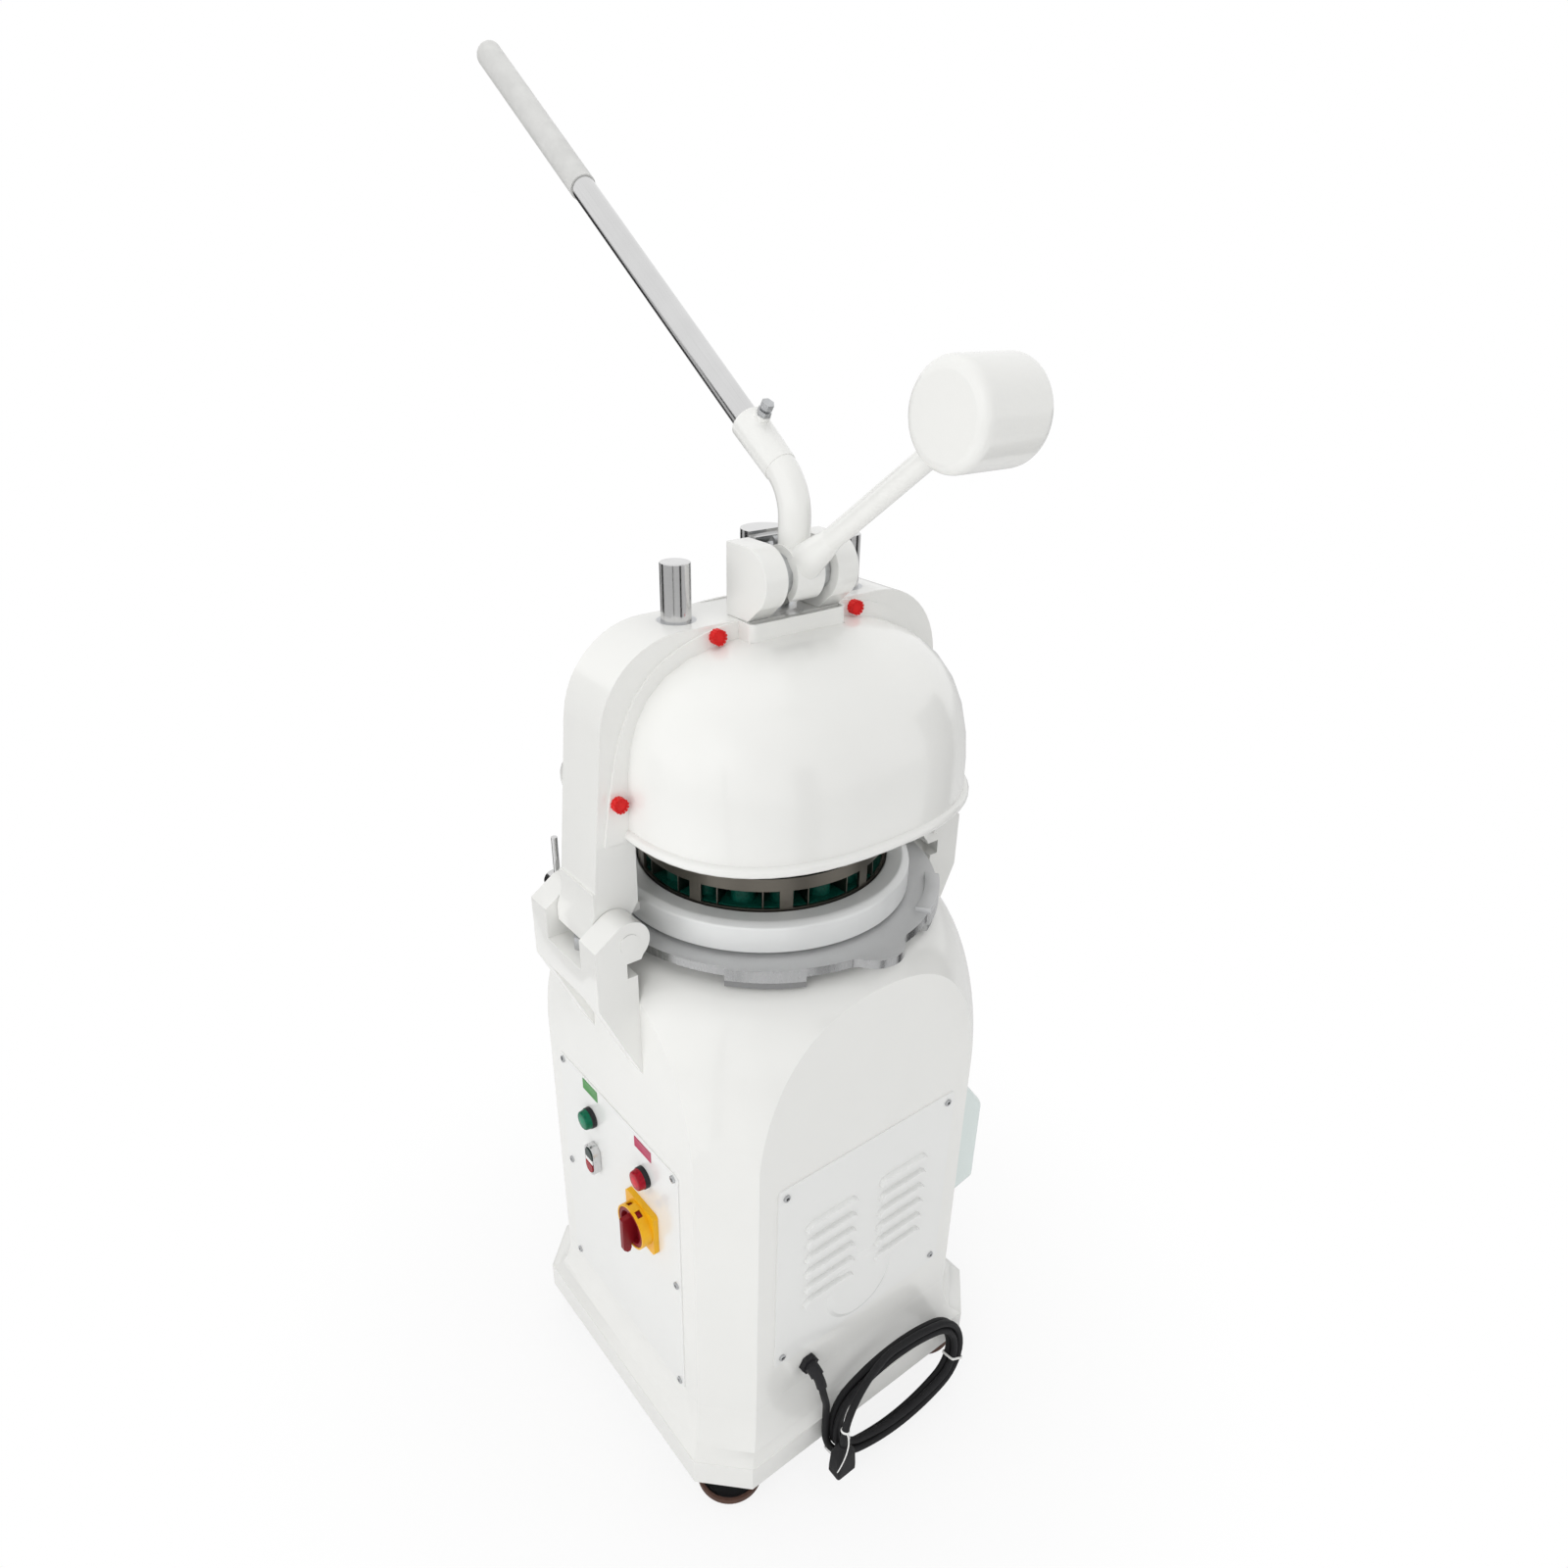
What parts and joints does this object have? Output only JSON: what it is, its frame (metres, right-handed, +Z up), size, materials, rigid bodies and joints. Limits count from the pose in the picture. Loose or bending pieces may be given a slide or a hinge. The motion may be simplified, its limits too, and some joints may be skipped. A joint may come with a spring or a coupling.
{
  "type": "dough divider rounder",
  "caption": "Bakery dough divider rounder: white pedestal with an orbiting rounding table and a tilting dividing head whose knife drum is worked by a counterweighted hand lever.",
  "frame": {"origin": "on the floor, midway between the four feet and below the middle of the table", "axes": "+Z up, vent panel towards -Y, control panel towards -X, lever handle towards +Y"},
  "size_m": [0.6785, 1.0964, 2.0712],
  "materials": {
    "enamel": "gloss",
    "panel_paint": "gloss",
    "mint_cover": "gloss",
    "black_rubber": "matte",
    "foot_rubber": "matte",
    "bright_steel": "polished",
    "plain_steel": "satin",
    "drum_steel": "brushed",
    "cast_grey": "as cast with machined edges",
    "ring_satin": "satin",
    "green_hammer": "hammertone paint",
    "knob_red": "gloss",
    "black_plastic": "matte",
    "lens_green": "gloss",
    "lens_red": "gloss",
    "yellow_plastic": "gloss",
    "dark_red_plastic": "gloss",
    "button_green": "gloss",
    "tie_nylon": "matte",
    "motor_paint": "gloss",
    "contactor_plastic": "matte",
    "grip_sleeve": "frosted"
  },
  "bodies": {
    "frame": {"base_plinth": "enamel", "pedestal_shell": "enamel", "control_panel": "panel_paint", "vent_panel": "panel_paint", "panel_screws": "plain_steel", "foot_pads": "foot_rubber", "foot_studs": "plain_steel", "left_bracket": "enamel", "right_bracket": "enamel", "hinge_pin": "enamel", "stop_bolt": "plain_steel", "side_cover": "mint_cover", "bearing_housing": "cast_grey", "shaft_bearings": "plain_steel", "motor_plate": "plain_steel", "drive_motor": "motor_paint", "v_belt": "black_rubber", "contactor": "contactor_plastic", "lamp_bezels": "black_plastic", "green_lamp": "lens_green", "red_lamp": "lens_red", "button_bezel": "bright_steel", "isolator_plate": "yellow_plastic", "cable_gland": "black_plastic", "cord_lead": "black_rubber", "cord_coil": "black_rubber", "cord_tail": "black_rubber", "mains_plug": "black_rubber", "cord_ties": "tie_nylon"},
    "head": {"yoke": "enamel", "bearing_blocks": "enamel", "guide_bushes": "plain_steel", "ring_hangers": "enamel", "press_ring": "ring_satin", "front_cover": "enamel", "rear_cover": "enamel", "cover_knobs": "knob_red"},
    "lock_pin": {"lock_pin": "bright_steel"},
    "lever": {"lever_shaft": "bright_steel", "sector_pinion": "plain_steel", "lever_neck": "enamel", "lever_socket": "enamel", "clamp_bolt": "plain_steel", "lever_tube": "bright_steel", "lever_grip": "grip_sleeve", "counterweight_arm": "enamel", "counterweight": "enamel"},
    "knife_head": {"press_ram": "bright_steel", "guide_rods": "bright_steel", "crosshead": "plain_steel", "knife_drum": "drum_steel"},
    "press_head": {"piston_plate": "green_hammer", "pistons": "green_hammer"},
    "eccentric": {"eccentric_shaft": "plain_steel", "driven_pulley": "cast_grey"},
    "table": {"rounding_table": "cast_grey"},
    "motor_rotor": {"motor_pulley": "cast_grey"},
    "start_cap": {"start_button": "button_green"},
    "stop_cap": {"stop_button": "lens_red"},
    "isolator": {"isolator_knob": "dark_red_plastic"}
  },
  "joints": [
    {"name": "head_tilt", "type": "hinge", "parent": "frame", "child": "head", "pos_m": [0.282, 0, 1.005], "axis": [0, 1, 0], "range_deg": [0, 75]},
    {"name": "lever_swing", "type": "hinge", "parent": "head", "child": "lever", "pos_m": [0, -0.058, 1.44], "axis": [-1, 0, 0], "range_deg": [0, 52]},
    {"name": "knife_feed", "type": "slide", "parent": "head", "child": "knife_head", "axis": [0, 0, -1], "range_m": [0, 0.042]},
    {"name": "press_lag", "type": "slide", "parent": "knife_head", "child": "press_head", "axis": [0, 0, 1], "range_m": [0, 0.021]},
    {"name": "lock_turn", "type": "hinge", "parent": "frame", "child": "lock_pin", "pos_m": [-0.282, 0.105, 1.005], "axis": [0, -1, 0], "range_deg": [0, 90]},
    {"name": "eccentric_turn", "type": "hinge", "parent": "frame", "child": "eccentric", "pos_m": [0, 0, 0.9], "axis": [0, 0, 1], "continuous": true},
    {"name": "table_steady", "type": "hinge", "parent": "eccentric", "child": "table", "pos_m": [0.01, 0, 0.95], "axis": [0, 0, 1], "continuous": true},
    {"name": "motor_turn", "type": "hinge", "parent": "frame", "child": "motor_rotor", "pos_m": [0, -0.128, 0.8], "axis": [0, 0, 1], "continuous": true},
    {"name": "start_press", "type": "slide", "parent": "frame", "child": "start_cap", "axis": [1, 0, 0], "range_m": [0, 0.004], "stiffness_N_per_m": 400},
    {"name": "stop_press", "type": "slide", "parent": "frame", "child": "stop_cap", "axis": [1, 0, 0], "range_m": [0, 0.004], "stiffness_N_per_m": 400},
    {"name": "isolator_turn", "type": "hinge", "parent": "frame", "child": "isolator", "pos_m": [-0.28, -0.075, 0.494], "axis": [1, 0, 0], "range_deg": [0, 90]}
  ],
  "couplings": [
    {"joint": "knife_feed", "follows": "lever_swing", "m_per_rad": 0.046},
    {"joint": "press_lag", "follows": "lever_swing", "m_per_rad": 0.023},
    {"joint": "table_steady", "follows": "eccentric_turn", "ratio": -1},
    {"joint": "motor_turn", "follows": "eccentric_turn", "ratio": 2.53}
  ]
}
